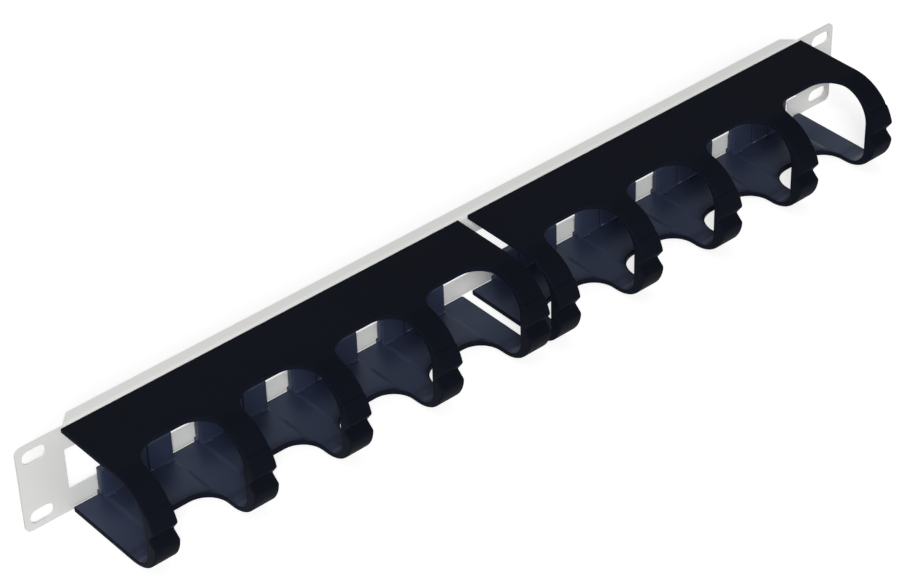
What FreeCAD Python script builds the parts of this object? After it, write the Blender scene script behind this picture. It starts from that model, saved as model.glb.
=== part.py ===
"""One-unit horizontal cable manager for a 19-inch rack.

A folded sheet-steel mounting panel carries two identical black plastic combs, side by side. Each comb is one
moulding: a top plate and a floor joined in front by five D-shaped finger rings, with U-shaped bays between them.
Cables lie in the tunnel behind the rings and leave through the bays.

Frame: millimetres, +X to the right, +Y to the back, +Z up. The origin is the centre of the rack slots, on the
panel's front face.
"""
import FreeCAD, Part
import math
import os

from FreeCAD import Vector

# ---- mounting panel: one folded sheet ----
PANEL_WIDTH = 482.6          # 19-inch rack width over the ears
PANEL_HEIGHT = 44.45         # one rack unit
SHEET = 1.2                  # sheet thickness
EAR_CORNER_RADIUS = 3.0
EAR_WIDTH = 22.95            # from the panel's end to the long window
SLOT_TO_END = 8.75           # rack slot centres stand this far in from the panel's ends
SLOT_TO_EDGE = 6.35          # and this far from its top and bottom edges
SLOT_LENGTH = 12.0
SLOT_WIDTH = 6.8
STRIP_ABOVE_WINDOW = 11.875  # sheet left above the window that the combs snap into
STRIP_BELOW_WINDOW = 10.825
FLANGE_INSET = 24.3          # the folds start this far in from the panel's ends
FLANGE_DEPTH = 7.1           # from the front face to the free edge
BEND_RADIUS = 1.0            # inside radius of the fold
EYE_WIDTH = 5.0              # small rectangular hole in the lower strip, at the right end only
EYE_HEIGHT = 6.0
EYE_TO_WINDOW_END = 8.85     # its centre, in from the window's right end
EYE_BELOW_WINDOW = 4.1       # and down from the window's lower edge

# ---- comb: one moulding, used twice ----
FINGERS = 5
FINGER_WIDTH = 12.7
COMB_GAP = 5.5               # between the two combs, at the middle of the panel
COMB_OVERHANG = 0.3          # each comb's outer end passes the window's end by this much
COMB_TO_EDGE = 0.225         # top plate and floor stand this far inside the panel's top and bottom edges
PLATE_THICKNESS = 2.6
FLOOR_THICKNESS = 2.2
FLOOR_BACK_GAP = 1.3         # the floor stops this far in front of the panel
FLOOR_CORNER_RADIUS = 3.0    # back corners of the floor, in plan

# finger ring, outside
ARCH_RADIUS = 25.5
ARCH_CENTRE_Y = -36.5
LIP_FACE_START_DEG = 37.0    # the arch ends and the lip face begins at this angle above level
LIP_FACE_STEP = 0.4          # the lip face stands this far proud of the arch
LIP_RAMP_DEG = 1.0           # over which it rises to that
UPPER_LIP_HEIGHT = 3.4       # height of the upper lip's tip
NOTCH_DEPTH_Y = -57.9        # root of the notch between the lips
NOTCH_HEIGHT = -1.7
LOWER_LIP_HEIGHT = -5.2
LOWER_LIP_REACH_Y = -61.9
CHIN_RADIUS = 17.4           # rounding from the lower lip to the flat underside
LIP_TIP_RADIUS = 1.2

# finger ring, inside
TUNNEL_FRONT_Y = -55.0
TUNNEL_TOP_RADIUS = 15.0
TUNNEL_FOOT_RADIUS = 9.5

# bays
BAY_BACK_Y = -30.0
BAY_CORNER_RADIUS = 12.0
RIM_BREAK = 0.4              # every finger and bay rim is broken by this much

# low wall at the back of each bay, with its snap tongue
PAD_RISE = 1.0               # the floor of a bay stands proud of the finger floor
PAD_FRONT_Y = -34.0
WALL_FRONT_Y = -5.0
WALL_END_GAP = 0.5           # between each end of the wall and the finger floor beside it
WALL_ABOVE_WINDOW_EDGE = 6.0
WALL_CORNER_RADIUS = 1.2
WALL_FOOT_RADIUS = 3.2
TONGUE_WIDTH = 10.4
SLIT_WIDTH = 0.6
SLIT_DEPTH = 6.2             # how far the slits run forward from the panel
RELIEF_LENGTH = 4.0          # short relief slots at the foot of the wall
RELIEF_WIDTH = 0.8
RELIEF_INSET = 1.5           # from the bay's side
RELIEF_TO_WALL = 1.1         # and from the wall's face

# hooks that grip the panel from behind
HOOK_CLEARANCE = 0.15
HOOK_THICKNESS = 2.0
HOOK_REACH = 3.2             # how far a hook runs behind the panel's strip
BARB_RISE = 2.2              # the tongue's barb stands this far above the window's lower edge
UPPER_HOOK_WIDTH = 12.0

OVERSHOOT = 2.0              # cutters run past the faces that they cut by this much

SLOT_SPACING_X = PANEL_WIDTH - 2 * SLOT_TO_END
SLOT_SPACING_Z = PANEL_HEIGHT - 2 * SLOT_TO_EDGE
WINDOW_WIDTH = PANEL_WIDTH - 2 * EAR_WIDTH
WINDOW_TOP = PANEL_HEIGHT / 2 - STRIP_ABOVE_WINDOW
WINDOW_BOTTOM = STRIP_BELOW_WINDOW - PANEL_HEIGHT / 2
FLANGE_LENGTH = PANEL_WIDTH - 2 * FLANGE_INSET
COMB_TOP = PANEL_HEIGHT / 2 - COMB_TO_EDGE
COMB_BOTTOM = COMB_TO_EDGE - PANEL_HEIGHT / 2
WALL_TOP = WINDOW_BOTTOM + WALL_ABOVE_WINDOW_EDGE
EYE_CENTRE_X = WINDOW_WIDTH / 2 - EYE_TO_WINDOW_END
EYE_CENTRE_Z = WINDOW_BOTTOM - EYE_BELOW_WINDOW
COMB_LENGTH = WINDOW_WIDTH / 2 + COMB_OVERHANG - COMB_GAP / 2
BAY_WIDTH = (COMB_LENGTH - FINGERS * FINGER_WIDTH) / (FINGERS - 1)
PITCH = FINGER_WIDTH + BAY_WIDTH
ARCH_CENTRE_Z = COMB_TOP - ARCH_RADIUS
FLOOR_TOP = COMB_BOTTOM + FLOOR_THICKNESS
PLATE_UNDERSIDE = COMB_TOP - PLATE_THICKNESS
LIP_RADIUS = ARCH_RADIUS + LIP_FACE_STEP
LIP_TIP_DEG = math.degrees(math.asin((UPPER_LIP_HEIGHT - ARCH_CENTRE_Z) / LIP_RADIUS))
CHIN_CENTRE_Y = LOWER_LIP_REACH_Y + CHIN_RADIUS
CHIN_CENTRE_Z = COMB_BOTTOM + CHIN_RADIUS
CHIN_START_DEG = math.degrees(math.asin((LOWER_LIP_HEIGHT - CHIN_CENTRE_Z) / CHIN_RADIUS))


def box(x0, x1, y0, y1, z0, z1):
    """A solid box between two corners."""
    return Part.makeBox(x1 - x0, y1 - y0, z1 - z0, Vector(x0, y0, z0))


def line(start, end):
    return Part.LineSegment(start, end).toShape()


def arc(start, middle, end):
    return Part.Arc(start, middle, end).toShape()


def section_point(y, z):
    """A point of the comb's cross-section, which lies in the plane of its left end."""
    return Vector(0, y, z)


def on_circle(centre_y, centre_z, radius, angle_deg):
    """A section point on a circle; the angle is measured upwards from the forward direction."""
    angle = math.radians(angle_deg)
    return section_point(centre_y - radius * math.cos(angle), centre_z + radius * math.sin(angle))


# ---- mounting panel ----

def rounded_plate(width, height, radius, y_front, y_back):
    """An upright plate, centred on the origin, with rounded corners."""
    plate = box(-width / 2, width / 2, y_front, y_back, -height / 2, height / 2)
    corners = [edge for edge in plate.Edges if edge.BoundBox.XLength < 0.01 and edge.BoundBox.ZLength < 0.01]
    return plate.makeFillet(radius, corners)


def rack_slot(x, z):
    """A cutter for one slot through an ear, rounded at both ends, its long axis level."""
    half_straight = (SLOT_LENGTH - SLOT_WIDTH) / 2
    radius = SLOT_WIDTH / 2
    depth = SHEET + 2 * OVERSHOOT
    start = Vector(x, -OVERSHOOT, z)
    left = Part.makeCylinder(radius, depth, start + Vector(-half_straight, 0, 0), Vector(0, 1, 0))
    right = Part.makeCylinder(radius, depth, start + Vector(half_straight, 0, 0), Vector(0, 1, 0))
    middle = box(
        x - half_straight, x + half_straight,
        -OVERSHOOT, SHEET + OVERSHOOT,
        z - radius, z + radius,
    )
    return left.fuse([right, middle]).removeSplitter()


def flange():
    """The fold along the top edge: a quarter bend and a level strip with chamfered ends."""
    top = PANEL_HEIGHT / 2
    outer = BEND_RADIUS + SHEET
    half_angle = math.radians(45)
    bend_y = outer
    bend_z = top - outer
    outer_middle = Vector(0, bend_y - outer * math.cos(half_angle), bend_z + outer * math.sin(half_angle))
    inner_middle = Vector(
        0, bend_y - BEND_RADIUS * math.cos(half_angle), bend_z + BEND_RADIUS * math.sin(half_angle)
    )
    edges = [
        arc(Vector(0, 0, bend_z), outer_middle, Vector(0, bend_y, top)),
        line(Vector(0, bend_y, top), Vector(0, FLANGE_DEPTH, top)),
        line(Vector(0, FLANGE_DEPTH, top), Vector(0, FLANGE_DEPTH, top - SHEET)),
        line(Vector(0, FLANGE_DEPTH, top - SHEET), Vector(0, bend_y, top - SHEET)),
        arc(Vector(0, bend_y, top - SHEET), inner_middle, Vector(0, SHEET, bend_z)),
        line(Vector(0, SHEET, bend_z), Vector(0, 0, bend_z)),
    ]
    profile = Part.Face(Part.Wire(edges))
    strip = profile.extrude(Vector(FLANGE_LENGTH, 0, 0))
    strip.translate(Vector(-FLANGE_LENGTH / 2, 0, 0))
    return strip.cut([flange_end_cutter(1), flange_end_cutter(-1)])


def flange_end_cutter(side):
    """A wedge that takes the flange's free corner off at 45 degrees, at the right (1) or left (-1) end."""
    end = side * FLANGE_LENGTH / 2
    run = FLANGE_DEPTH - SHEET
    above = PANEL_HEIGHT / 2 + OVERSHOOT
    corner = [
        Vector(end, SHEET, above),
        Vector(end - side * run, FLANGE_DEPTH, above),
        Vector(end - side * run, FLANGE_DEPTH + OVERSHOOT, above),
        Vector(end + side * OVERSHOOT, FLANGE_DEPTH + OVERSHOOT, above),
        Vector(end + side * OVERSHOOT, SHEET, above),
    ]
    wedge = Part.Face(Part.makePolygon(corner + corner[:1]))
    return wedge.extrude(Vector(0, 0, -2 * OVERSHOOT))


def fold_band():
    """The strip of flat sheet that the fold along the top edge takes the place of."""
    top = PANEL_HEIGHT / 2
    fold_start = top - BEND_RADIUS - SHEET
    return box(-FLANGE_LENGTH / 2, FLANGE_LENGTH / 2, -OVERSHOOT, SHEET + OVERSHOOT, fold_start, top + OVERSHOOT)


def upside_down(shape):
    """The same shape mirrored about the panel's middle height."""
    return shape.mirror(Vector(0, 0, 0), Vector(0, 0, 1))


def mounting_panel():
    """The folded sheet: ears with slots, a long window, a flange back at the top and one at the bottom."""
    sheet = rounded_plate(PANEL_WIDTH, PANEL_HEIGHT, EAR_CORNER_RADIUS, 0, SHEET)
    top_band = fold_band()
    window = box(
        -WINDOW_WIDTH / 2, WINDOW_WIDTH / 2,
        -OVERSHOOT, SHEET + OVERSHOOT,
        WINDOW_BOTTOM, WINDOW_TOP,
    )
    eye = box(
        EYE_CENTRE_X - EYE_WIDTH / 2, EYE_CENTRE_X + EYE_WIDTH / 2,
        -OVERSHOOT, SHEET + OVERSHOOT,
        EYE_CENTRE_Z - EYE_HEIGHT / 2, EYE_CENTRE_Z + EYE_HEIGHT / 2,
    )
    slots = [
        rack_slot(side_x * SLOT_SPACING_X / 2, side_z * SLOT_SPACING_Z / 2)
        for side_x in (-1, 1)
        for side_z in (-1, 1)
    ]
    sheet = sheet.cut([top_band, upside_down(top_band), window, eye] + slots)
    top_flange = flange()
    return sheet.fuse([top_flange, upside_down(top_flange)]).removeSplitter()


# ---- comb ----

def on_lip(angle_deg):
    """A point of the lip face."""
    return on_circle(ARCH_CENTRE_Y, ARCH_CENTRE_Z, LIP_RADIUS, angle_deg)


def on_chin(angle_deg):
    """A point of the chin, the rounding from the lower lip to the flat underside."""
    return on_circle(CHIN_CENTRE_Y, CHIN_CENTRE_Z, CHIN_RADIUS, angle_deg)


def comb_section():
    """The C-shaped cross-section of a finger, open at the back: plate, arch, double lip, chin and floor."""
    # outside, from the top back corner round to the bottom
    plate_back = section_point(0, COMB_TOP)
    arch_top = section_point(ARCH_CENTRE_Y, COMB_TOP)
    arch_end = on_circle(ARCH_CENTRE_Y, ARCH_CENTRE_Z, ARCH_RADIUS, LIP_FACE_START_DEG)
    arch_middle = on_circle(ARCH_CENTRE_Y, ARCH_CENTRE_Z, ARCH_RADIUS, (90 + LIP_FACE_START_DEG) / 2)
    face_start_deg = LIP_FACE_START_DEG - LIP_RAMP_DEG
    face_start = on_lip(face_start_deg)
    face_middle = on_lip((face_start_deg + LIP_TIP_DEG) / 2)
    upper_tip = on_lip(LIP_TIP_DEG)
    notch_root = section_point(NOTCH_DEPTH_Y, NOTCH_HEIGHT)
    lower_tip = on_chin(CHIN_START_DEG)
    chin_middle = on_chin((CHIN_START_DEG - 90) / 2)
    chin_end = section_point(CHIN_CENTRE_Y, COMB_BOTTOM)
    floor_back_low = section_point(-FLOOR_BACK_GAP, COMB_BOTTOM)
    # inside, from the floor's back edge round to the plate
    floor_back_high = section_point(-FLOOR_BACK_GAP, FLOOR_TOP)
    foot_y = TUNNEL_FRONT_Y + TUNNEL_FOOT_RADIUS
    foot_z = FLOOR_TOP + TUNNEL_FOOT_RADIUS
    foot_low = section_point(foot_y, FLOOR_TOP)
    foot_middle = on_circle(foot_y, foot_z, TUNNEL_FOOT_RADIUS, -45)
    foot_high = section_point(TUNNEL_FRONT_Y, foot_z)
    crown_y = TUNNEL_FRONT_Y + TUNNEL_TOP_RADIUS
    crown_z = PLATE_UNDERSIDE - TUNNEL_TOP_RADIUS
    crown_low = section_point(TUNNEL_FRONT_Y, crown_z)
    crown_middle = on_circle(crown_y, crown_z, TUNNEL_TOP_RADIUS, 45)
    crown_high = section_point(crown_y, PLATE_UNDERSIDE)
    plate_low = section_point(0, PLATE_UNDERSIDE)
    edges = [
        line(plate_back, arch_top),
        arc(arch_top, arch_middle, arch_end),
        line(arch_end, face_start),
        arc(face_start, face_middle, upper_tip),
        line(upper_tip, notch_root),
        line(notch_root, lower_tip),
        arc(lower_tip, chin_middle, chin_end),
        line(chin_end, floor_back_low),
        line(floor_back_low, floor_back_high),
        line(floor_back_high, foot_low),
        arc(foot_low, foot_middle, foot_high),
        line(foot_high, crown_low),
        arc(crown_low, crown_middle, crown_high),
        line(crown_high, plate_low),
        line(plate_low, plate_back),
    ]
    return Part.Face(Part.Wire(edges))


def long_edges_at(solid, y, z):
    """The edges of an extrusion that run along X through a section point."""
    found = []
    for edge in solid.Edges:
        bounds = edge.BoundBox
        runs_along_x = bounds.XLength > 1 and bounds.YLength < 0.01 and bounds.ZLength < 0.01
        if runs_along_x and abs(bounds.YMin - y) < 0.02 and abs(bounds.ZMin - z) < 0.02:
            found.append(edge)
    return found


def floor_corners(body):
    """The upright edges at the two back corners of the floor."""
    found = []
    for edge in body.Edges:
        bounds = edge.BoundBox
        upright = bounds.XLength < 0.01 and bounds.YLength < 0.01
        if upright and abs(bounds.YMin + FLOOR_BACK_GAP) < 0.01 and bounds.ZMax < 0:
            found.append(edge)
    return found


def comb_body():
    """The section carried along the comb, with the tips of both lips and the floor's back corners rounded."""
    body = comb_section().extrude(Vector(COMB_LENGTH, 0, 0))
    tip = on_lip(LIP_TIP_DEG)
    body = body.makeFillet(LIP_TIP_RADIUS, long_edges_at(body, tip.y, tip.z))
    low_tip = on_chin(CHIN_START_DEG)
    body = body.makeFillet(LIP_TIP_RADIUS, long_edges_at(body, low_tip.y, low_tip.z))
    return body.makeFillet(FLOOR_CORNER_RADIUS, floor_corners(body))


def bay_left(index):
    """X of a bay's left side, in the comb's own length."""
    return FINGER_WIDTH + index * PITCH


def bay_cutter(index):
    """The upright U-shaped cut between two fingers, through plate and floor and out at the front."""
    left = bay_left(index)
    right = left + BAY_WIDTH
    front = LOWER_LIP_REACH_Y - OVERSHOOT
    cutter = box(left, right, front, BAY_BACK_Y, COMB_BOTTOM - OVERSHOOT, COMB_TOP + OVERSHOOT)
    corners = []
    for edge in cutter.Edges:
        bounds = edge.BoundBox
        if bounds.XLength < 0.01 and bounds.YLength < 0.01 and abs(bounds.YMin - BAY_BACK_Y) < 0.01:
            corners.append(edge)
    return cutter.makeFillet(BAY_CORNER_RADIUS, corners)


def rim_edges(body):
    """The rims of the rings, bays and comb ends, inside and outside, but not the edges next to the panel."""
    sides = [0.0, COMB_LENGTH]
    for index in range(FINGERS - 1):
        sides += [bay_left(index), bay_left(index) + BAY_WIDTH]
    rims = []
    for edge in body.Edges:
        bounds = edge.BoundBox
        in_side = bounds.XLength < 0.01 and any(abs(bounds.XMin - side) < 0.01 for side in sides)
        in_bay_end = bounds.YMin > BAY_BACK_Y - BAY_CORNER_RADIUS - 0.01 and bounds.YMax < BAY_BACK_Y + 0.01
        on_back = bounds.YMin > -FLOOR_BACK_GAP - 0.01
        upright = bounds.YLength < 0.01 and bounds.XLength < 0.01
        crosses_wall = upright and bounds.YMin > TUNNEL_FRONT_Y + 0.01
        is_rim = (in_side or in_bay_end) and not on_back and not crosses_wall
        if is_rim and bounds.XLength < BAY_WIDTH + 0.01:
            rims.append(edge)
    return rims


def bay_furniture(index):
    """The raised floor and the low back wall of one bay, one piece with the comb."""
    left = bay_left(index)
    right = left + BAY_WIDTH
    pad_top = FLOOR_TOP + PAD_RISE
    pad = box(left, right, PAD_FRONT_Y, 0, COMB_BOTTOM, pad_top)
    wall_start = left + WALL_END_GAP
    wall_end = right - WALL_END_GAP
    wall = box(wall_start, wall_end, WALL_FRONT_Y, -FLOOR_BACK_GAP, COMB_BOTTOM, WALL_TOP)
    corners = []
    for edge in wall.Edges:
        bounds = edge.BoundBox
        if bounds.XLength < 0.01 and bounds.YLength < 0.01 and abs(bounds.YMin - WALL_FRONT_Y) < 0.01:
            corners.append(edge)
    wall = wall.makeFillet(WALL_CORNER_RADIUS, corners)
    pad = pad.cut(bay_cutter(index))
    foot = wall_foot(wall_start + WALL_CORNER_RADIUS, wall_end - WALL_CORNER_RADIUS, pad_top)
    return pad.fuse([wall, foot])


def wall_foot(x0, x1, floor_z):
    """The hollow rounding between a bay's back wall and its floor."""
    front = WALL_FRONT_Y - WALL_FOOT_RADIUS
    block = box(x0, x1, front, WALL_FRONT_Y, floor_z, floor_z + WALL_FOOT_RADIUS)
    hollow = Part.makeCylinder(
        WALL_FOOT_RADIUS, x1 - x0, Vector(x0, front, floor_z + WALL_FOOT_RADIUS), Vector(1, 0, 0)
    )
    return block.cut(hollow)


def tongue_cutters(index):
    """Slits on both sides of the snap tongue, and the relief slots at the foot of the wall."""
    centre = bay_left(index) + BAY_WIDTH / 2
    cutters = []
    for side in (-1, 1):
        slit = centre + side * (TONGUE_WIDTH + SLIT_WIDTH) / 2
        cutters.append(
            box(
                slit - SLIT_WIDTH / 2, slit + SLIT_WIDTH / 2,
                -SLIT_DEPTH, OVERSHOOT,
                COMB_BOTTOM - OVERSHOOT, WALL_TOP + OVERSHOOT,
            )
        )
        relief = centre + side * (BAY_WIDTH / 2 - RELIEF_INSET - RELIEF_LENGTH / 2)
        relief_back = WALL_FRONT_Y - RELIEF_TO_WALL
        cutters.append(
            box(
                relief - RELIEF_LENGTH / 2, relief + RELIEF_LENGTH / 2,
                relief_back - RELIEF_WIDTH, relief_back,
                COMB_BOTTOM - OVERSHOOT, WALL_TOP - OVERSHOOT,
            )
        )
    return cutters


def lower_hook(index):
    """The barb of the snap tongue: through the window, over its lower edge and down behind the strip."""
    centre = bay_left(index) + BAY_WIDTH / 2
    neck_low = WINDOW_BOTTOM + HOOK_CLEARANCE
    neck_top = WINDOW_BOTTOM + BARB_RISE
    root = (WALL_FRONT_Y - FLOOR_BACK_GAP) / 2
    behind = SHEET + HOOK_CLEARANCE
    half = TONGUE_WIDTH / 2
    outline = [
        (root, neck_low),
        (behind, neck_low),
        (behind, WINDOW_BOTTOM - HOOK_REACH),
        (behind + HOOK_THICKNESS / 2, WINDOW_BOTTOM - HOOK_REACH),
        (behind + HOOK_THICKNESS, neck_low),
        (behind + HOOK_THICKNESS, neck_top),
        (root, neck_top),
    ]
    points = [Vector(centre - half, y, z) for y, z in outline]
    return Part.Face(Part.makePolygon(points + points[:1])).extrude(Vector(2 * half, 0, 0))


def upper_hook(index):
    """A stiff hook that hangs from the plate, goes back through the window and up behind the upper strip."""
    centre = bay_left(index) + BAY_WIDTH / 2
    half = UPPER_HOOK_WIDTH / 2
    foot_top = WINDOW_TOP - HOOK_CLEARANCE
    foot_low = foot_top - HOOK_THICKNESS
    front = -HOOK_THICKNESS
    behind = SHEET + HOOK_CLEARANCE
    back = behind + HOOK_THICKNESS
    outline = [
        (front, COMB_TOP - PLATE_THICKNESS / 2),
        (front, foot_low),
        (back, foot_low),
        (back, WINDOW_TOP + HOOK_REACH),
        (behind, WINDOW_TOP + HOOK_REACH),
        (behind, foot_top),
        (0, foot_top),
        (0, COMB_TOP - PLATE_THICKNESS / 2),
    ]
    points = [Vector(centre - half, y, z) for y, z in outline]
    return Part.Face(Part.makePolygon(points + points[:1])).extrude(Vector(2 * half, 0, 0))


def comb():
    """One moulding, with its left end at X = 0."""
    body = comb_body()
    body = body.cut([bay_cutter(index) for index in range(FINGERS - 1)])
    body = body.makeChamfer(RIM_BREAK, rim_edges(body))
    body = body.fuse([bay_furniture(index) for index in range(FINGERS - 1)])
    cutters = []
    for index in range(FINGERS - 1):
        cutters += tongue_cutters(index)
    body = body.cut(cutters)
    hooks = []
    for index in range(FINGERS - 1):
        hooks += [lower_hook(index), upper_hook(index)]
    return body.fuse(hooks).removeSplitter()


def comb_at(left):
    """A comb with its left end moved to this X."""
    placed = comb()
    placed.translate(Vector(left, 0, 0))
    return placed


os.makedirs("parts", exist_ok=True)
mounting_panel().exportStep("parts/mounting_panel.step")
comb_at(-COMB_GAP / 2 - COMB_LENGTH).exportStep("parts/comb_left.step")
comb_at(COMB_GAP / 2).exportStep("parts/comb_right.step")
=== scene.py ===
"""Looks of a one-unit horizontal cable manager: a white powder-coated steel panel with two black plastic
combs."""

import bmesh
import bpy
import numpy as np
from mathutils import Matrix, Vector


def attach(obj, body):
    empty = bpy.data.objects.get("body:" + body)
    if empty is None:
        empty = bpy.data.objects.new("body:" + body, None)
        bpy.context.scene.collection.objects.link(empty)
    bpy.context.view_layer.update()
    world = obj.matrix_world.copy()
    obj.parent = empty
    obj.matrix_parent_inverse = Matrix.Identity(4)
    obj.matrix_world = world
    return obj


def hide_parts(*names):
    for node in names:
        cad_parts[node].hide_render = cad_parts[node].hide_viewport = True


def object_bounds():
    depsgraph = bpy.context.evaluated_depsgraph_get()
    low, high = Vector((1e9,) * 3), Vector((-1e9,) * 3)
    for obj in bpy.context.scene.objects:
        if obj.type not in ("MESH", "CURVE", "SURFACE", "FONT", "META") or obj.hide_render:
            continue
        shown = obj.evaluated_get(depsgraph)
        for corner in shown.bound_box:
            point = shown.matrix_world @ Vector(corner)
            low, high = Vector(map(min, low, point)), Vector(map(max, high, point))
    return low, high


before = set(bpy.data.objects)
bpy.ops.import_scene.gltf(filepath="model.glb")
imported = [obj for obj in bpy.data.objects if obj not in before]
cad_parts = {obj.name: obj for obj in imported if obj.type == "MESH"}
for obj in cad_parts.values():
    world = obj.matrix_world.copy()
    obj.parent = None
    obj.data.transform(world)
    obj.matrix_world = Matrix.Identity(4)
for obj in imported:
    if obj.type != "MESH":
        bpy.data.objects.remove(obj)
cad_low, cad_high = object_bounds()

# ---- the studio: camera, lamps, world and floor ----
# A pale floor under the part, one soft lamp in front and to the left, and weaker ones above and behind.
# Floor and world are white where they are seen, directly or in a glossy surface, and give the part no more
# light for it.


def aimed_camera():
    """The camera: its place, then its right, up and back directions as the columns of its turn."""
    right = Vector((0.7542, -0.6563, -0.0233)).normalized()
    back = Vector((-0.5129, -0.6108, 0.6031)).normalized()
    up = back.cross(right).normalized()
    right = up.cross(back).normalized()
    data = bpy.data.cameras.new("camera")
    data.sensor_width = 36.0
    data.lens = 115.8
    data.shift_x = -0.0149
    data.shift_y = 0.0089
    data.clip_start = 0.05
    camera = bpy.data.objects.new("camera", data)
    turn = Matrix((right, up, back)).transposed().to_4x4()
    camera.matrix_world = Matrix.Translation((-0.6804, -0.8091, 0.7774)) @ turn
    bpy.context.scene.collection.objects.link(camera)
    bpy.context.scene.camera = camera


def soft_lamp(name, place, size, watts):
    """A square area lamp at a place, turned so that it shines at the part."""
    data = bpy.data.lights.new(name, "AREA")
    data.shape = "SQUARE"
    data.size = size
    data.energy = watts
    lamp = bpy.data.objects.new(name, data)
    lamp.location = place
    lamp.rotation_mode = "QUATERNION"
    lamp.rotation_quaternion = (-Vector(place)).to_track_quat("-Z", "Y")
    bpy.context.scene.collection.objects.link(lamp)


def plain_tree(owner):
    """The node tree of a world or a material, emptied."""
    owner.use_nodes = True
    owner.node_tree.nodes.clear()
    return owner.node_tree


def maths(tree, operation, *values):
    """A math node's result; each of its values is a number or another node's output."""
    node = tree.nodes.new("ShaderNodeMath")
    node.operation = operation
    for socket, value in zip(node.inputs, values):
        if isinstance(value, float):
            socket.default_value = value
        else:
            tree.links.new(value, socket)
    return node.outputs[0]


def sight(tree, strength):
    """The strength where a ray comes from the camera, off a glossy surface or through a clear one, else
    nothing."""
    rays = tree.nodes.new("ShaderNodeLightPath").outputs
    seen = maths(tree, "MAXIMUM", rays["Is Camera Ray"], rays["Is Glossy Ray"])
    seen = maths(tree, "MAXIMUM", seen, rays["Is Transmission Ray"])
    return maths(tree, "MULTIPLY", seen, strength)


def fade(tree, value, start, end):
    """Nought where a value is at its start and one where it is at its end, and in step between."""
    node = tree.nodes.new("ShaderNodeMapRange")
    node.inputs["From Min"].default_value = start
    node.inputs["From Max"].default_value = end
    tree.links.new(value, node.inputs["Value"])
    return node.outputs[0]


bpy.context.scene.view_settings.view_transform = "Standard"
aimed_camera()
soft_lamp("lamp_key", (-1.70, -2.55, 2.00), size=1.1, watts=102.0)
soft_lamp("lamp_above", (0.2, -0.2, 1.7), size=1.5, watts=3.0)
soft_lamp("lamp_behind", (-0.3, 1.7, 0.6), size=1.2, watts=8.0)

sky_light = 0.22        # the even light that the world gives
floor_grey = 0.50
floor_glow = 0.7        # lifts the floor to white where it is seen
floor_gap = 0.0005      # in metres, so that part and floor never meet

world = bpy.data.worlds.new("studio")
bpy.context.scene.world = world
tree = plain_tree(world)
background = tree.nodes.new("ShaderNodeBackground")
background.inputs["Color"].default_value = (1, 1, 1, 1)
direction = tree.nodes.new("ShaderNodeTexCoord")
towards = tree.nodes.new("ShaderNodeSeparateXYZ")
tree.links.new(direction.outputs["Generated"], towards.inputs[0])
# By the direction in which it is seen, the world is white below a height of 0.20, and from 0.90 on towards
# the back.
low_down = fade(tree, towards.outputs["Z"], 0.40, 0.20)
behind = fade(tree, towards.outputs["Y"], 0.30, 0.90)
pale = maths(tree, "MAXIMUM", low_down, behind)
shown = maths(tree, "MULTIPLY_ADD", pale, sight(tree, 1 - sky_light), sky_light)
tree.links.new(shown, background.inputs["Strength"])
tree.links.new(background.outputs[0], tree.nodes.new("ShaderNodeOutputWorld").inputs[0])

bpy.ops.mesh.primitive_plane_add(size=12, location=(0, 0, cad_low.z - floor_gap))
floor = bpy.context.object
floor.name = "floor"
floor_paper = bpy.data.materials.new("floor_paper")
tree = plain_tree(floor_paper)
diffuse = tree.nodes.new("ShaderNodeBsdfDiffuse")
diffuse.inputs["Color"].default_value = (floor_grey, floor_grey, floor_grey, 1)
glow = tree.nodes.new("ShaderNodeEmission")
glow.inputs["Color"].default_value = (1, 1, 1, 1)
tree.links.new(sight(tree, floor_glow), glow.inputs["Strength"])
both = tree.nodes.new("ShaderNodeAddShader")
tree.links.new(diffuse.outputs[0], both.inputs[0])
tree.links.new(glow.outputs[0], both.inputs[1])
tree.links.new(both.outputs[0], tree.nodes.new("ShaderNodeOutputMaterial").inputs[0])
floor.data.materials.append(floor_paper)

# ---- the mounting panel ----
# One sheet of steel, punched, folded back along its top and bottom edges and powder-coated white. The coat
# rounds every cut edge a little and has a faint orange-peel surface. The solids' mesh is used, with its
# flat faces joined.

coat_white = (0.79, 0.79, 0.775)
coat_roughness = 0.45
coat_patches, coat_gloss_patches = 0.05, 0.25       # how far the soft patches change its colour and roughness
coat_peel = 0.00003                     # depth of the orange peel, in metres
edge_round = 0.00010                    # of a cut edge under its coat, in metres
smooth_below = np.radians(28)           # a fold's facets turn by less than this, and a cut edge by more
weld_distance = 1e-7                    # in metres
flat_below = np.radians(0.3)            # faces that turn by less than this are joined


def fine_relief_group():
    """A node group on object coordinates in metres: fine grain for a bump's height, and broad soft patches,
    centred on zero, for colour and roughness. Each is smooth noise at its own scale."""
    tree = bpy.data.node_groups.new("fine_relief", "ShaderNodeTree")
    for name in ("Grain scale", "Patch scale"):
        tree.interface.new_socket(name, in_out="INPUT", socket_type="NodeSocketFloat")
    for name in ("Grain", "Patches"):
        tree.interface.new_socket(name, in_out="OUTPUT", socket_type="NodeSocketFloat")
    given = tree.nodes.new("NodeGroupInput")
    result = tree.nodes.new("NodeGroupOutput")
    place = tree.nodes.new("ShaderNodeTexCoord")
    for index, detail in enumerate((2.0, 3.0)):
        noise = tree.nodes.new("ShaderNodeTexNoise")
        noise.inputs["Detail"].default_value = detail
        tree.links.new(place.outputs["Object"], noise.inputs["Vector"])
        tree.links.new(given.outputs[index], noise.inputs["Scale"])
        tree.links.new(maths(tree, "SUBTRACT", noise.outputs[0], 0.5), result.inputs[index])
    return tree


fine_relief = fine_relief_group()


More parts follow.
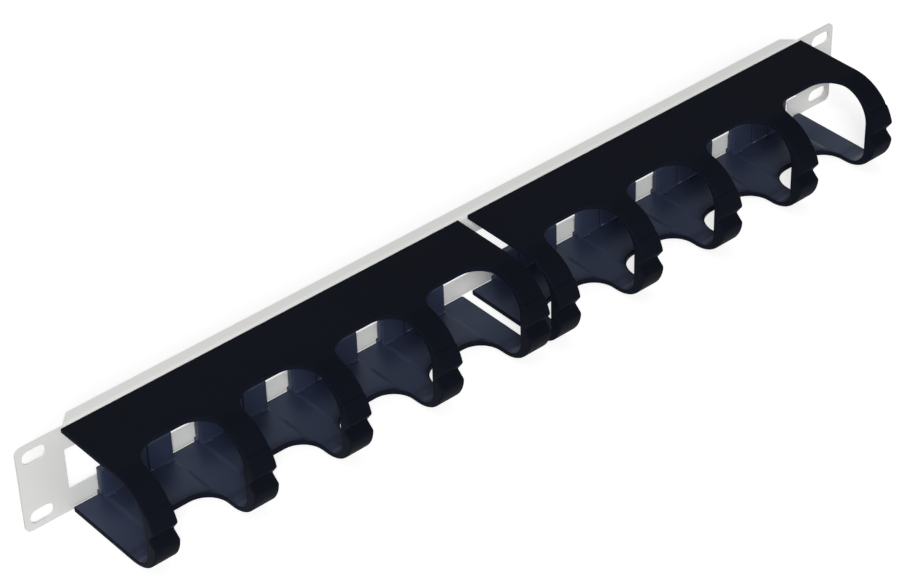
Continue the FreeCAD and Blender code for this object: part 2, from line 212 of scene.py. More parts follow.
def finish(name, grain_scale, patch_scale, depth):
    """A material with a Principled shader, the fine relief's group and a bump of the given depth in metres.
    It gives back the material, its tree, its shader's inputs, the group's outputs and the bump's height."""
    material = bpy.data.materials.new(name)
    tree = plain_tree(material)
    shader = tree.nodes.new("ShaderNodeBsdfPrincipled")
    tree.links.new(shader.outputs[0], tree.nodes.new("ShaderNodeOutputMaterial").inputs[0])
    group = tree.nodes.new("ShaderNodeGroup")
    group.node_tree = fine_relief
    group.inputs["Grain scale"].default_value = grain_scale
    group.inputs["Patch scale"].default_value = patch_scale
    bump = tree.nodes.new("ShaderNodeBump")
    bump.inputs["Distance"].default_value = depth
    tree.links.new(bump.outputs[0], shader.inputs["Normal"])
    return material, tree, shader.inputs, group.outputs, bump.inputs["Height"]


def brightened(tree, colour, value):
    """A colour times a value that lies near one."""
    node = tree.nodes.new("ShaderNodeVectorMath")
    node.operation = "SCALE"
    tree.links.new(value, node.inputs["Scale"])
    if isinstance(colour, tuple):
        node.inputs[0].default_value = colour
    else:
        tree.links.new(colour, node.inputs[0])
    return node.outputs[0]


powder_coat, tree, shader, fine, height = finish(
    "powder_coat", grain_scale=620.0, patch_scale=14.0, depth=coat_peel,
)
lightness = maths(tree, "MULTIPLY_ADD", fine["Patches"], coat_patches, 1.0)
roughness = maths(tree, "MULTIPLY_ADD", fine["Patches"], coat_gloss_patches, coat_roughness)
tree.links.new(brightened(tree, coat_white, lightness), shader["Base Color"])
tree.links.new(roughness, shader["Roughness"])
tree.links.new(fine["Grain"], height)

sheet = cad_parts["mounting_panel"].data.copy()
sheet.name = "panel_sheet"
editing = bmesh.new()
editing.from_mesh(sheet)
bmesh.ops.remove_doubles(editing, verts=editing.verts[:], dist=weld_distance)
bmesh.ops.dissolve_limit(editing, angle_limit=flat_below, verts=editing.verts[:], edges=editing.edges[:])
editing.to_mesh(sheet)
editing.free()
sheet.materials.clear()
sheet.materials.append(powder_coat)
sheet.polygons.foreach_set("use_smooth", np.ones(len(sheet.polygons), bool))
sheet.set_sharp_from_angle(angle=smooth_below)
panel = bpy.data.objects.new("panel", sheet)
bpy.context.scene.collection.objects.link(panel)
rounding = panel.modifiers.new("coated_edges", "BEVEL")
rounding.width = edge_round
rounding.segments = 3
rounding.limit_method = "ANGLE"
rounding.angle_limit = smooth_below
rounding.harden_normals = True
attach(panel, "root")
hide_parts("mounting_panel")

# ---- the finger combs ----
# Two identical mouldings in black plastic, snapped side by side into the panel's window. Each is one sheet
# bent into a C: a plate and a floor, joined in front by five finger rings, with a U-shaped bay between each
# two. Its sizes are in millimetres: x runs along the comb, y back to the panel's face at 0, and z up.

fingers, bays = 5, 4
finger_width = 12.7
bay_width = 38.1
pitch = finger_width + bay_width
comb_length = fingers * finger_width + bays * bay_width
half_gap = 2.75                         # between the two combs, from the panel's middle
plate_top, plate_under = 22.0, 19.4
floor_top, floor_under = -19.8, -22.0
bay_back, bay_corner = -30.0, 12.0
ring_start = bay_back - bay_corner      # in front of this the fingers have straight sides
rim = 0.7                               # rounding of every rim
back_rim = 0.3                          # and of the plate's edge against the panel
floor_back, floor_corner = -1.3, 1.2
floor_drop = 0.35                       # the floor's rims are flatter than they are wide
pad_rise, pad_front, pad_ramp = 0.5, -34.0, 3.0     # each bay's floor stands a little higher
wall_front, wall_top, wall_gap, wall_foot = -5.0, -5.4, 0.5, 0.8
fade_start, fade_length = 0.6, 1.2      # of the rounding at the wall's foot, from the wall's end
slit_near, slit_far, slit_front = 5.2, 5.8, -6.2    # slits beside the snap tongue, from the bay's middle
slit_skin = 0.02                        # the wall's ends keep this far behind the slits' sides
hole_near, hole_far = 1.5, 5.5          # holes at the wall's foot, from a finger
hole_front, hole_back = -6.9, -6.1


def arc(centre, radius, start_deg, end_deg):
    """Points on a circle in the (y, z) plane: centre less radius times cosine in y, plus radius times sine
    in z."""
    angle = np.radians(np.linspace(start_deg, end_deg, 200))
    return np.column_stack((centre[0] - radius * np.cos(angle), centre[1] + radius * np.sin(angle)))


def walk(path):
    """Distance walked along a path at each of its points."""
    return np.r_[0, np.cumsum(np.hypot(*np.diff(path, axis=0).T))]


def at(path, along, places):
    """The path's points at these distances."""
    return np.column_stack([np.interp(places, along, path[:, k]) for k in range(path.shape[1])])


def softened(points, reach, closed=False):
    """An outline walked at even steps, then each point moved to the mean of its neighbours within reach. A
    straight or gently curved run stays where it is, and a corner becomes round."""
    step = 0.05
    if closed:
        points = np.vstack((points, points[:1]))
    walked = walk(points)
    path = at(points, walked, np.linspace(0, walked[-1], int(walked[-1] / step)))
    width = int(reach / step)
    window = np.ones(2 * width + 1) / (2 * width + 1)
    if closed:
        ring = path[:-1]
        padded = np.vstack((ring[-width:], ring, ring[:width]))
        return np.column_stack([np.convolve(padded[:, k], window, "valid") for k in (0, 1)])
    start = 2 * path[0] - path[width:0:-1]
    end = 2 * path[-1] - path[-2:-width - 2:-1]
    padded = np.vstack((start, path, end))
    return np.column_stack([np.convolve(padded[:, k], window, "valid") for k in (0, 1)])


def left_normals(path, closed=False):
    """Unit normals of a path: its tangent turned by a quarter, (dy, dz) to (dz, -dy)."""
    if closed:
        step = np.roll(path, -1, 0) - np.roll(path, 1, 0)
    else:
        step = np.gradient(path, axis=0)
    normal = np.column_stack((step[:, 1], -step[:, 0]))
    return normal / np.linalg.norm(normal, axis=1)[:, None]


def crowded(path, spacing, turn):
    """Distances along a path for a mesh's rows: one each spacing on straight runs, and one for each turn
    (radians) where it bends. They are even steps of the running sum of both."""
    step = np.gradient(path, axis=0)
    heading = np.unwrap(np.arctan2(step[:, 1], step[:, 0]))
    along = walk(path)
    wanted = along / spacing + np.r_[0, np.cumsum(np.abs(np.diff(heading)))] / turn
    count = int(np.ceil(wanted[-1])) + 1
    return np.interp(np.linspace(0, wanted[-1], count), wanted, along)


# The two outlines of a ring in (y, z), from the plate round to the floor: outside the arch, a fine crease,
# the lip's face, the notch and the chin, and inside two hollows.
arch_centre, arch_radius = (-36.5, -3.5), 25.5
step_in = 0.4           # of the crease between the arch and the lip, and as far out again to the lip's face
notch_root = (-57.9, -1.7)
chin_centre, chin_radius = (-44.5, -4.6), 17.4
upper_hollow_centre, upper_hollow_radius = (-40.0, 4.4), 15.0
lower_hollow_centre, lower_hollow_radius = (-45.5, -10.3), 9.5
straight_end = -20.0    # the outlines start and end here, and the plate and floor go on level behind it
edge_softness = 0.8

outside = softened(np.vstack((
    [[straight_end, plate_top]],
    arc(arch_centre, arch_radius, 90, 39),
    arc(arch_centre, arch_radius - step_in, 38.6, 37),
    arc(arch_centre, arch_radius + step_in, 36.4, 15.45),
    [notch_root],
    arc(chin_centre, chin_radius, -1.98, -90),
    [[straight_end, floor_under]],
)), edge_softness)
inside = softened(np.vstack((
    [[straight_end, plate_under]],
    arc(upper_hollow_centre, upper_hollow_radius, 90, 0),
    arc(lower_hollow_centre, lower_hollow_radius, 0, -90),
    [[straight_end, floor_top]],
)), edge_softness)


def upper_z(path, y):
    """Height of the path's upper run, above or below the plate, at y."""
    run = path[path[:, 1] > 10]
    run = run[: np.argmin(run[:, 0])]
    return np.interp(-y, -run[:, 0], run[:, 1])


def ring_rows():
    """Matched rows round a finger ring, from its plate to its floor: points and normals outside, then
    inside. Marks at the crease, the lip, the notch and the chin keep the two sides in step."""

    def front_part(path, floor_z):
        """The stretch of the path in front of the ring's start, with its two ends put exactly there."""
        front = path[path[:, 0] <= ring_start]
        return np.vstack(([[ring_start, upper_z(path, ring_start)]], front, [[ring_start, floor_z]]))

    def nearest(path, along, point):
        """Distance along the path of the point on it that lies nearest to this one."""
        return along[np.argmin(np.hypot(*(path - point).T))]

    front_out, front_in = front_part(outside, floor_under), front_part(inside, floor_top)
    along_out, along_in = walk(front_out), walk(front_in)
    marks_out = [(-57.0, 12.0), (-61.3, 3.3), notch_root, (-61.8, -5.2), (-56.8, -16.9)]
    marks_in = [(-53.3, 11.0), (-55.0, 3.3), (-55.0, -1.7), (-55.0, -5.2), (-52.2, -17.0)]
    known_out = [0] + [nearest(front_out, along_out, m) for m in marks_out] + [along_out[-1]]
    known_in = [0] + [nearest(front_in, along_in, m) for m in marks_in] + [along_in[-1]]
    rows_out = crowded(front_out, spacing=1.5, turn=0.2)
    rows_in = np.interp(rows_out, known_out, known_in)
    normals_out = at(left_normals(front_out), along_out, rows_out)
    normals_in = -at(left_normals(front_in), along_in, rows_in)
    normals_out[0] = normal_above(outside, ring_start, 1)
    normals_in[0] = normal_above(inside, ring_start, -1)
    normals_out[-1] = (0, -1)
    normals_in[-1] = (0, 1)
    return at(front_out, along_out, rows_out), normals_out, at(front_in, along_in, rows_in), normals_in


def normal_above(path, y, side):
    """Unit normal (y, z) of the path's upper run at y: minus its slope, and one, turned up or down by
    side."""
    y = np.atleast_1d(np.asarray(y, float))
    step = 0.02
    slope = (upper_z(path, y + step) - upper_z(path, y - step)) / (2 * step)
    normal = np.stack((-slope, np.ones_like(slope)), -1) * side
    return normal / np.linalg.norm(normal, axis=-1)[..., None]


def bay_place(x):
    """How far a place along the comb lies inside the nearest bay, from the nearer of its sides, and which
    way the bay lies from there. Across a finger the distance is below zero."""
    across = np.mod(x + 1e-9, pitch) - finger_width
    past = across < -finger_width / 2
    inside_bay = np.where(past, -finger_width - across, np.minimum(across, bay_width - across))
    return inside_bay, np.where(past | (across > bay_width / 2), -1.0, 1.0)


def columns():
    """X of the sheet's columns: even steps across each finger, equal angles round each bay corner and floor
    corner, and a line at each edge of the pads, slits and holes."""
    corner = bay_corner - (bay_corner + rim) * np.cos(np.radians(np.linspace(0, 90, 15)))
    marks = [0, 0.5, 1.0, hole_near, 2.0, 2.5, pad_ramp, hole_far]
    middle = bay_width / 2
    tongue = [middle - slit_far, middle - slit_near, middle]
    half_bay = np.unique(np.round(np.r_[corner, marks, tongue], 6))
    bay = np.r_[half_bay, bay_width - half_bay[-2::-1]]
    finger = np.linspace(rim, finger_width - rim, 7)
    places = [index * pitch + finger for index in range(fingers)]
    places += [index * pitch + finger_width + bay for index in range(bays)]
    end = floor_corner - (floor_corner - rim) * np.cos(np.radians(np.linspace(0, 90, 7)))
    places += [end, comb_length - end]
    return np.unique(np.round(np.concatenate(places), 5))


def front_limit(x):
    """Y where plate and floor end in front: the bay's U, offset into the material by the rim."""
    inside_bay, _ = bay_place(x)
    reach = bay_corner + rim
    across = np.clip(bay_corner - inside_bay, 0, reach)
    return ring_start + np.sqrt(reach ** 2 - across ** 2)


def front_way(x):
    """Unit direction (x, y) from that limit out over the bay."""
    inside_bay, side = bay_place(x)
    across = np.clip(bay_corner - inside_bay, 0, bay_corner + rim) / (bay_corner + rim)
    return np.column_stack((side * across, -np.sqrt(1 - across ** 2)))


def back_limit(x):
    """Y where the floor ends behind, with its two rounded corners."""
    from_end = np.minimum(x, comb_length - x)
    reach = floor_corner - rim
    across = np.clip(floor_corner - from_end, 0, reach)
    return floor_back - floor_corner + np.sqrt(reach ** 2 - across ** 2)


def back_way(x):
    """Unit direction (x, y) from that limit out behind the floor."""
    from_end = np.minimum(x, comb_length - x)
    across = np.clip(floor_corner - from_end, 0, floor_corner - rim) / (floor_corner - rim)
    side = np.where(x < comb_length / 2, -1.0, 1.0)
    return np.column_stack((side * across, np.sqrt(1 - across ** 2)))


def smooth_step(t):
    """Nought below 0 and one above 1, and between them three times t squared less twice t cubed."""
    t = np.clip(t, 0, 1)
    return t * t * (3 - 2 * t)


def floor_height(x, y):
    """Z of the floor: level, with a pad in each bay that rises over a short smooth ramp, and at its back a
    hollow rounding up to the wall, the radius less the root of the radius squared less the way into the
    rounding squared. The rounding fades out towards the wall's ends."""
    inside_bay, _ = bay_place(x)
    pad = smooth_step(inside_bay / pad_ramp) * smooth_step((y - pad_front) / pad_ramp)
    into = np.clip(y - (wall_front - wall_foot), 0, 0.97 * wall_foot)
    hollow = (wall_foot - np.sqrt(wall_foot ** 2 - into ** 2)) * (y < wall_front + 0.5)
    share = smooth_step((inside_bay - wall_gap - fade_start) / fade_length)
    return floor_top + pad_rise * pad + hollow * share


def floor_normals(x, y):
    """Normals of the floor, from the slope of its height over a hundredth of a millimetre."""
    step = 0.01
    slope_x = (floor_height(x + step, y) - floor_height(x - step, y)) / (2 * step)
    slope_y = (floor_height(x, y + step) - floor_height(x, y - step)) / (2 * step)
    normal = np.stack((-slope_x, -slope_y, np.ones_like(slope_x)), -1)
    return normal / np.linalg.norm(normal, axis=-1)[..., None]


core_from = 0.24        # faces whose mean core_side_and_painted_light lies above this wear the inside's finish


class Surface:
    """Grids of points and normals, welded into one mesh at the end: a closed sheet, and closed blocks that
    run into it."""

    def __init__(self):
        self.points, self.normals, self.cores = [], [], []
        self.quads, self.caps = [], []
        self.count = 0

    def grid(self, points, normals, core=1.0, wrap=False, keep=None):
        """Adds a grid (rows, columns, 3). The core is 0 on the outside of the moulding and 1 on its inside,
        where it also gives the paler colour of painted light; wrap joins the grid's last row to its first,
        and keep drops cells."""
        rows, cols = points.shape[:2]
        number = self.count + np.arange(rows * cols).reshape(rows, cols)
        if wrap:
            number = np.vstack((number, number[:1]))
        quads = np.stack((number[:-1, :-1], number[1:, :-1], number[1:, 1:], number[:-1, 1:]), -1)
        self.quads.append(quads.reshape(-1, 4) if keep is None else quads[keep])
        self.points.append(points.reshape(-1, 3))
        self.normals.append(np.broadcast_to(normals, points.shape).reshape(-1, 3))
        self.cores.append(np.broadcast_to(core, (rows, cols)).reshape(-1))
        self.count += rows * cols
        return number

    def cap(self, numbers):
        """Adds one flat face through points that a grid already has."""
        self.caps.append(list(numbers))

    def mesh(self, name, shift):
        """Welds equal points, drops faces that have shrunk to a line, turns each face to agree with its
        normals, moves all by shift and scales millimetres to metres. Faces on the core side get the second
        material."""
        points = np.vstack(self.points)
        normals = np.vstack(self.normals)
        _, first, same = np.unique(np.round(points, 4), axis=0, return_index=True, return_inverse=True)
        same = same.ravel()
        mean = np.zeros((len(first), 3))
        np.add.at(mean, same, normals)
        mean /= np.maximum(np.linalg.norm(mean, axis=1), 1e-9)[:, None]
        core = np.bincount(same, np.concatenate(self.cores)) / np.bincount(same)
        welded = points[first]
        quads = same[np.vstack(self.quads)]
        a, b, c, d = (welded[quads[:, k]] for k in range(4))
        facing = np.cross(c - a, d - b)
        turned = np.einsum("ij,ij->i", facing, mean[quads].sum(1)) < 0
        quads[turned] = quads[turned][:, ::-1]
        faces = []
        for quad in quads.tolist():
            corners = [v for k, v in enumerate(quad) if v != quad[k - 1]]
            if len(set(corners)) == len(corners) and len(corners) > 2:
                faces.append(corners)
        for cap in self.caps:
            corners = same[cap]
            ring = welded[corners]
            facing = np.cross(ring, np.roll(ring, -1, 0)).sum(0)
            if facing @ mean[corners].sum(0) < 0:
                corners = corners[::-1]
            faces.append([v for k, v in enumerate(corners.tolist()) if v != corners[k - 1]])
        mesh = bpy.data.meshes.new(name)
        mesh.from_pydata(((welded + shift) * 0.001).tolist(), [], faces)
        mesh.polygons.foreach_set("use_smooth", np.ones(len(mesh.polygons), bool))
        mesh.normals_split_custom_set_from_vertices(mean.tolist())
        # The core attribute also carries the inside's paler painted light into the base colour.
        mesh.attributes.new("core_side_and_painted_light", "FLOAT", "POINT").data.foreach_set("value", core.astype(np.float32))
        inner = [core[face].mean() > core_from for face in faces]
        mesh.polygons.foreach_set("material_index", np.array(inner, np.int32))
        return mesh


# Y of the sheet's rows, from the rings back: closer over the bays' corners, the pad's ramp and the wall's
# foot.
pad_rows = pad_front + pad_ramp * np.array([0, 1 / 3, 2 / 3, 1])
rows_back = np.r_[
    ring_start, -40.5, -39, -37.5, -36, pad_rows, -30, -28, -25, -20, -14, -10, -8.2, -7.8, -7.3,
    hole_front, -6.5, slit_front, hole_back, -5.7, -5.4, -5.2, wall_front, -3.8,
]
plate_rows = np.r_[rows_back, -1.5, -back_rim]
floor_rows = np.r_[rows_back, -2.7, -2.4, floor_back - rim]

plate_shade_reach, floor_shade_reach = 4.0, 5.0     # about how far behind its front edge the inside's finish is full; nearer the edge its colour darkens, a painted shade along the rims
blend_lead = 0.1                        # the floor's blend is this far on at the edge
floor_least_core_at_shaded_edge = 0.25                  # about the least core value on the floor, at its front edge, where the painted shade is darkest
rim_core = 0.2                          # core_side_and_painted_light of a rim where it meets the inside
drop_fade = 9.0                         # along a ring's edge, from the floor's flat rim to the full rounding


def sheet_of(surface):
    """The comb's C-shaped sheet: plate, floor and rings on both sides, and rounded rims round every
    opening."""
    x = columns()

    def level(rows, limit_back):
        """A grid of places over plate or floor, with its rows drawn in to the two limits."""
        grid_x, grid_y = np.meshgrid(x, rows, indexing="ij")
        limit_back = np.broadcast_to(limit_back, x.shape)
        return grid_x, np.clip(grid_y, front_limit(x)[:, None], limit_back[:, None])

    px, py = level(plate_rows, -back_rim)
    fx, fy = level(floor_rows, back_limit(x))

    def lifted(gx, gy, z):
        """Points from grids of x, y and z."""
        return np.stack((gx, gy, z), -1)

    def yz(gx, pair):
        """Directions (0, y, z) from a grid of pairs."""
        return np.concatenate((np.zeros(gx.shape + (1,)), pair), -1)

    plate_out = lifted(px, py, upper_z(outside, py))
    plate_in = lifted(px, py, upper_z(inside, py))
    plate_out_n = yz(px, normal_above(outside, py.ravel(), 1).reshape(py.shape + (2,)))
    plate_in_n = yz(px, normal_above(inside, py.ravel(), -1).reshape(py.shape + (2,)))
    floor_out = lifted(fx, fy, np.full_like(fx, floor_under))
    floor_in = lifted(fx, fy, floor_height(fx, fy))
    floor_in_n = floor_normals(fx, fy)
    floor_out_n = np.broadcast_to(np.array([0.0, 0.0, -1.0]), floor_out.shape)
    middle_x = (fx[:-1, :-1] + fx[1:, 1:]) / 2
    middle_y = (fy[:-1, :-1] + fy[1:, 1:]) / 2
    inside_bay, _ = bay_place(middle_x)
    from_tongue = bay_width / 2 - inside_bay
    in_hole = (inside_bay > hole_near) & (inside_bay < hole_far)
    in_hole &= (middle_y > hole_front) & (middle_y < hole_back)
    in_slit = (from_tongue > slit_near) & (from_tongue < slit_far) & (middle_y > slit_front)
    solid = ~(in_hole | in_slit)
    # Over these blends the inside's paler colour darkens towards each front edge: a painted shade along the
    # rims. The roughness follows the same blend.
    plate_core_and_edge_shade = smooth_step((py - front_limit(x)[:, None]) / plate_shade_reach)
    floor_core_and_edge_shade = smooth_step((fy - front_limit(x)[:, None]) / floor_shade_reach + blend_lead)
    surface.grid(plate_out, plate_out_n, 0.0)
    surface.grid(plate_in, plate_in_n, plate_core_and_edge_shade)
    surface.grid(floor_out, floor_out_n, 0.0, keep=solid)
    surface.grid(floor_in, floor_in_n, floor_least_core_at_shaded_edge + (1 - floor_least_core_at_shaded_edge) * floor_core_and_edge_shade, keep=solid)

    ring_out, ring_out_n, ring_in, ring_in_n = ring_rows()
    for index in range(fingers):
        left = index * pitch
        across = x[(x > left + rim - 1e-3) & (x < left + finger_width - rim + 1e-3)]
        for path, normals, core in ((ring_out, ring_out_n, 0.0), (ring_in, ring_in_n, 1.0)):
            gx = np.broadcast_to(across, (len(path), len(across)))
            gy = np.broadcast_to(path[:, :1], gx.shape)
            gz = np.broadcast_to(path[:, 1:], gx.shape)
            pair = np.broadcast_to(normals[:, None, :], gx.shape + (2,))
            surface.grid(lifted(gx, gy, gz), yz(gx, pair), core)

    def run(out, out_n, inn, inn_n, way, radius, drop=rim):
        """One stretch of a rim's line: places and normals on both sides, the way out over the edge, and the
        width and drop of its rounding."""
        count = len(out)
        way = np.broadcast_to(way, (count, 2))
        way = np.column_stack((way, np.zeros(count)))
        radius = np.broadcast_to(radius, count)
        return [out, out_n, inn, inn_n, way, radius, np.minimum(radius, drop)]

    def ring_side(edge_x, way_x):
        """The rim's line round one side of a ring, from plate to floor."""
        column = np.full((len(ring_out), 1), edge_x)
        blank = np.zeros((len(ring_out), 1))
        to_floor = walk(ring_out[::-1])[::-1]
        drop = rim + (floor_drop - rim) * smooth_step(1 - to_floor / drop_fade)
        return run(np.hstack((column, ring_out)), np.hstack((blank, ring_out_n)),
                   np.hstack((column, ring_in)), np.hstack((blank, ring_in_n)), (way_x, 0.0), rim, drop)

    def reversed_run(stretch):
        """The same stretch, walked the other way."""
        return [part[::-1] for part in stretch]

    def rim_band(stretches):
        """A closed band: at each place a quarter round, the wall and a quarter round back. The quarter is
        the way out times the width times sine, less the normal times the drop times one minus cosine."""
        joined = [np.concatenate(same_kind) for same_kind in zip(*stretches)]
        out, out_n, inn, inn_n, way, radius, drop = joined
        angle = np.radians(np.linspace(0, 90, 6))
        sine, cosine = np.sin(angle)[None, :, None], np.cos(angle)[None, :, None]
        radius, drop = radius[:, None, None], drop[:, None, None]
        parts, part_normals = [], []
        for edge, normal, turn in ((out, out_n, 1), (inn, inn_n, -1)):
            curve = edge[:, None] + way[:, None] * radius * sine - normal[:, None] * drop * (1 - cosine)
            curve_n = way[:, None] * sine + normal[:, None] * cosine
            parts.append(curve[:, ::turn])
            part_normals.append(curve_n[:, ::turn])
        band = np.concatenate(parts, 1)
        band_n = np.concatenate(part_normals, 1)
        surface.grid(band, band_n, np.linspace(0.0, rim_core, band.shape[1]), wrap=True)

    def plate_front(chosen):
        """The plate's front edge over these columns."""
        sides = [part[chosen, 0] for part in (plate_out, plate_out_n, plate_in, plate_in_n)]
        return run(*sides, front_way(x[chosen]), rim)

    def floor_front(chosen):
        """The floor's front edge over these columns."""
        up = np.broadcast_to(np.array([0.0, 0.0, 1.0]), (len(chosen), 3))
        sides = [part[chosen, 0] for part in (floor_out, floor_out_n, floor_in)]
        return run(*sides, up, front_way(x[chosen]), rim, floor_drop)

    for index in range(bays):
        left = index * pitch + finger_width
        chosen = np.flatnonzero((x > left - rim - 1e-3) & (x < left + bay_width + rim + 1e-3))
        rim_band([plate_front(chosen), ring_side(left + bay_width + rim, -1.0),
                  reversed_run(floor_front(chosen)), reversed_run(ring_side(left - rim, 1.0))])

    def plate_end(column, way_x):
        """The plate's edge along one end of the comb, from front to back."""
        sides = [part[column] for part in (plate_out, plate_out_n, plate_in, plate_in_n)]
        return run(*sides, (way_x, 0.0), rim)

    def floor_end(column, way_x):
        """The floor's edge along one end of the comb, from front to back."""
        sides = [part[column] for part in (floor_out, floor_out_n, floor_in, floor_in_n)]
        return run(*sides, (way_x, 0.0), rim, floor_drop)

    def plate_corner(column, from_deg, to_deg):
        """The plate's back corner: one place, with the way out turning through a quarter."""
        turn = np.radians(np.linspace(from_deg, to_deg, 5))
        way = np.column_stack((np.sin(turn), np.cos(turn)))
        radius = np.abs(way[:, 0]) * rim + np.abs(way[:, 1]) * back_rim
        sides = [part[column, -1:] for part in (plate_out, plate_out_n, plate_in, plate_in_n)]
        return run(*[np.repeat(part, len(turn), 0) for part in sides], way, radius)

    sides = [part[:, -1] for part in (plate_out, plate_out_n, plate_in, plate_in_n)]
    plate_back = run(*sides, (0.0, 1.0), back_rim)
    up = np.broadcast_to(np.array([0.0, 0.0, 1.0]), (len(x), 3))
    sides = [part[:, -1] for part in (floor_out, floor_out_n, floor_in)]
    floor_rear = run(*sides, up, back_way(x), rim, floor_drop)
    rim_band([
        plate_back, plate_corner(-1, 0, 90),
        reversed_run(plate_end(-1, 1.0)), ring_side(comb_length - rim, 1.0), floor_end(-1, 1.0),
        reversed_run(floor_rear),
        reversed_run(floor_end(0, -1.0)), reversed_run(ring_side(rim, -1.0)), plate_end(0, -1.0),
        plate_corner(0, -90, 0),
    ])


def shaft(surface, x0, x1, y0, y1):
    """The walls of a narrow hole through the floor, from its front side round to its back; they reach up to
    the floor's height at each place."""
    xs = columns()
    xs = xs[(xs > x0 - 1e-6) & (xs < x1 + 1e-6)]
    ys = floor_rows[(floor_rows > y0 - 1e-6) & (floor_rows < y1 + 1e-6)]
    sides = [
        (xs, np.full(len(xs), y0), (0.0, 1.0, 0.0)),
        (np.full(len(ys), x0), ys, (1.0, 0.0, 0.0)),
        (np.full(len(ys), x1), ys, (-1.0, 0.0, 0.0)),
        (xs, np.full(len(xs), y1), (0.0, -1.0, 0.0)),
    ]
    for sx, sy, way in sides:
        top = np.column_stack((sx, sy, floor_height(sx, sy)))
        foot = np.column_stack((sx, sy, np.full(len(sx), floor_under)))
        points = np.stack((foot, top))
        surface.grid(points, np.broadcast_to(np.array(way), points.shape))


def bar(surface, outline, start, end, start_rounding, end_rounding, upright=False):
    """A closed outline in the (y, z) plane carried along x from start to end, or, upright, one in the (x,
    y) plane carried along z. Towards an end it shrinks along its normals by the rounding times one minus
    sine, and its corners are softened enough beforehand that they never cross."""
    path = softened(outline, 1.5 * max(start_rounding, end_rounding), closed=True)
    path = np.vstack((path, path[:1]))
    path = at(path, walk(path), crowded(path, spacing=2.0, turn=0.35)[:-1])
    ahead = np.roll(path, -1, 0)
    counter_clockwise = (path[:, 0] * ahead[:, 1] - path[:, 1] * ahead[:, 0]).sum() > 0
    normal = left_normals(path, closed=True) * (1 if counter_clockwise else -1)
    angle = np.radians(np.linspace(0, 90, 5))
    sections = [(start + start_rounding * (1 - np.cos(a)), start_rounding, a, -1) for a in angle]
    sections += [(end - end_rounding * (1 - np.cos(a)), end_rounding, a, 1) for a in angle[::-1]]
    points = []
    normals = []
    for place, rounding, turn, way in sections:
        sine, along = np.sin(turn), way * np.cos(turn)
        section = path - normal * rounding * (1 - sine)
        points.append(np.column_stack((np.full(len(path), place), section)))
        normals.append(np.column_stack((np.full(len(path), along), normal * sine)))
    points = np.stack(points, 1)
    normals = np.stack(normals, 1)
    if upright:
        points = np.roll(points, -1, -1)
        normals = np.roll(normals, -1, -1)
    numbers = surface.grid(points, normals, wrap=True)
    surface.cap(numbers[:-1, 0])
    surface.cap(numbers[:-1, -1])


wall_root = floor_under + 0.1           # inside the floor
strip_under = floor_under + 0.06        # a shade inside the floor's underside
wall_corner = 1.2                       # the wall's front corner beside a finger
root_round, wall_round, strip_round, hook_round = 0.02, 0.4, 0.2, 0.3
lower_hook_half, upper_hook_half = 5.1, 6.0


def upright_block(surface, x0, x1, corner):
    """One stretch of the wall, from inside the floor up to the wall's top. One front corner may be rounded
    more: the left one where corner is -1, the right one where it is 1."""
    outline = [[x0, wall_front], [x1, wall_front], [x1, floor_back], [x0, floor_back]]
    if corner == -1:
        rounded = arc((x0 + wall_corner, wall_front + wall_corner), wall_corner, 0, -90)
        outline = np.vstack((rounded, outline[1:]))
    if corner == 1:
        rounded = arc((x1 - wall_corner, wall_front + wall_corner), wall_corner, 270, 180)
        outline = np.vstack((outline[:1], rounded, outline[2:]))
    bar(surface, np.array(outline), wall_root, wall_top, root_round, wall_round, upright=True)


# Outlines in (y, z): the strip behind the wall's foot, the tongue's barb and the hook under the plate,
# which both reach through the window and behind the panel.
strip_front, strip_top = -3.0, -18.8
back_strip_outline = np.array([
    [strip_front, strip_under], [0.0, strip_under], [0.0, strip_top], [strip_front, strip_top],
])
lower_hook_outline = np.array([
    [-3.1, -11.25], [1.35, -11.25], [1.35, -14.6], [2.35, -14.6], [3.35, -11.25], [3.35, -9.2], [-3.1, -9.2],
])
upper_hook_outline = np.array([
    [-2.0, 20.7], [-2.0, 8.2], [3.35, 8.2], [3.35, 13.55],
    [1.35, 13.55], [1.35, 10.2], [0.0, 10.2], [0.0, 20.7],
])


def bay_parts(surface, near):
    """The low wall at the back of the bay that starts at near, its snap tongue, the holes at its foot and
    the hooks."""
    far = near + bay_width
    middle = (near + far) / 2
    stretches = [
        (near + wall_gap, middle - slit_far - slit_skin, -1),
        (middle - slit_near + slit_skin, middle + slit_near - slit_skin, 0),
        (middle + slit_far + slit_skin, far - wall_gap, 1),
    ]
    for start, end, corner in stretches:
        upright_block(surface, start, end, corner)
        bar(surface, back_strip_outline, start, end, strip_round, strip_round)
    shaft(surface, near + hole_near, near + hole_far, hole_front, hole_back)
    shaft(surface, far - hole_far, far - hole_near, hole_front, hole_back)
    for side in (-1, 1):
        slit = sorted((middle + side * slit_near, middle + side * slit_far))
        shaft(surface, *slit, slit_front, floor_back - rim)
    for outline, half in ((lower_hook_outline, lower_hook_half), (upper_hook_outline, upper_hook_half)):
        bar(surface, outline, middle - half, middle + half, hook_round, hook_round)


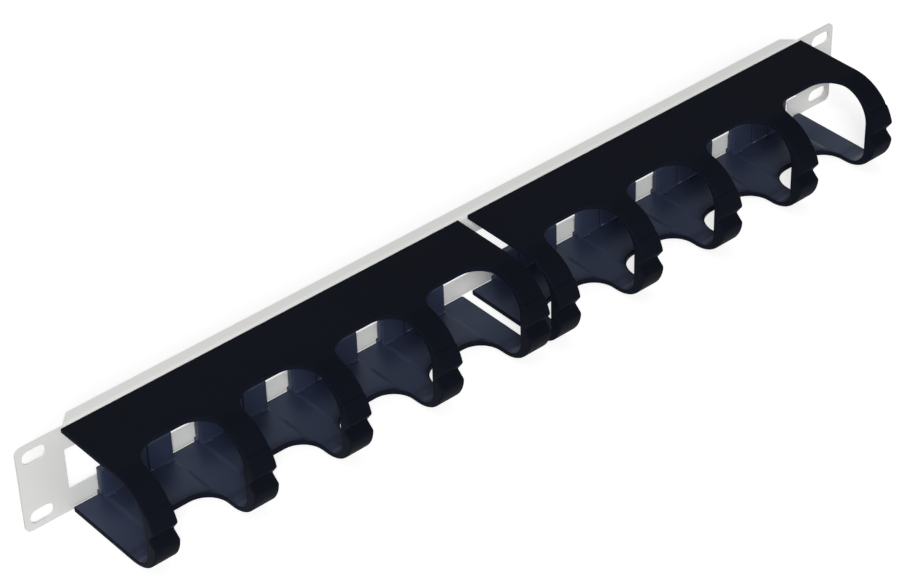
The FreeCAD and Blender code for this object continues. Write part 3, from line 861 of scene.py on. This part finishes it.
outside_black = (0.0058, 0.0068, 0.0115, 1)
# The inside's black is paler and bluer than the outside's as painted light: it stands in for the light that
# the white panel throws back under the plate.
inside_black_painted_paler = (0.0265, 0.0330, 0.0640, 1)
blue_sheen = (0.52, 0.70, 1.0, 1)
outside_roughness, inside_roughness = 0.55, 0.38
comb_patches, comb_gloss_patches = 0.35, 0.15
outside_reflection, inside_reflection = 0.02, 0.5
grain_depth = 0.00002   # of the outside's grain, in metres
inside_grain = 0.25     # what is left of it inside


def comb_finish(name, reflection):
    """Satin black plastic. The cavity side of the mould left a fine grain on the outside; the core side,
    where its attribute is one, is smoother. There the base colour is also paler and bluer, as painted light:
    it stands in for the light that the white panel throws back into the tunnel under the plate. The
    reflection is the shader's specular level."""
    material, tree, shader, fine, height = finish(
        name, grain_scale=3200.0, patch_scale=22.0, depth=grain_depth,
    )
    side = tree.nodes.new("ShaderNodeAttribute")
    side.attribute_name = "core_side_and_painted_light"
    core_and_painted_light_share = side.outputs["Fac"]
    # Base colour: the outside's black, and the inside's paler painted light where the core attribute is one.
    base = tree.nodes.new("ShaderNodeMix")
    base.data_type = "RGBA"
    base.inputs[6].default_value = outside_black
    base.inputs[7].default_value = inside_black_painted_paler
    tree.links.new(core_and_painted_light_share, base.inputs[0])
    lightness = maths(tree, "MULTIPLY_ADD", fine["Patches"], comb_patches, 1.0)
    tree.links.new(brightened(tree, base.outputs[2], lightness), shader["Base Color"])
    smoother = inside_roughness - outside_roughness
    roughness = maths(tree, "MULTIPLY_ADD", core_and_painted_light_share, smoother, outside_roughness)
    uneven = maths(tree, "MULTIPLY_ADD", fine["Patches"], comb_gloss_patches, roughness)
    tree.links.new(uneven, shader["Roughness"])
    grain_share = maths(tree, "MULTIPLY_ADD", core_and_painted_light_share, inside_grain - 1.0, 1.0)
    tree.links.new(maths(tree, "MULTIPLY", fine["Grain"], grain_share), height)
    shader["Specular IOR Level"].default_value = reflection
    shader["Specular Tint"].default_value = blue_sheen
    return material


plastics = [comb_finish("comb_outside", outside_reflection), comb_finish("comb_inside", inside_reflection)]

comb_surface = Surface()
sheet_of(comb_surface)
for bay in range(bays):
    bay_parts(comb_surface, bay * pitch + finger_width)
places = (("left_comb", "comb_left", -half_gap - comb_length), ("right_comb", "comb_right", half_gap))
for name, node, left in places:
    piece = bpy.data.objects.new(name, comb_surface.mesh(name, (left, 0, 0)))
    bpy.context.scene.collection.objects.link(piece)
    for plastic in plastics:
        piece.data.materials.append(plastic)
    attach(piece, "root")
    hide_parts(node)
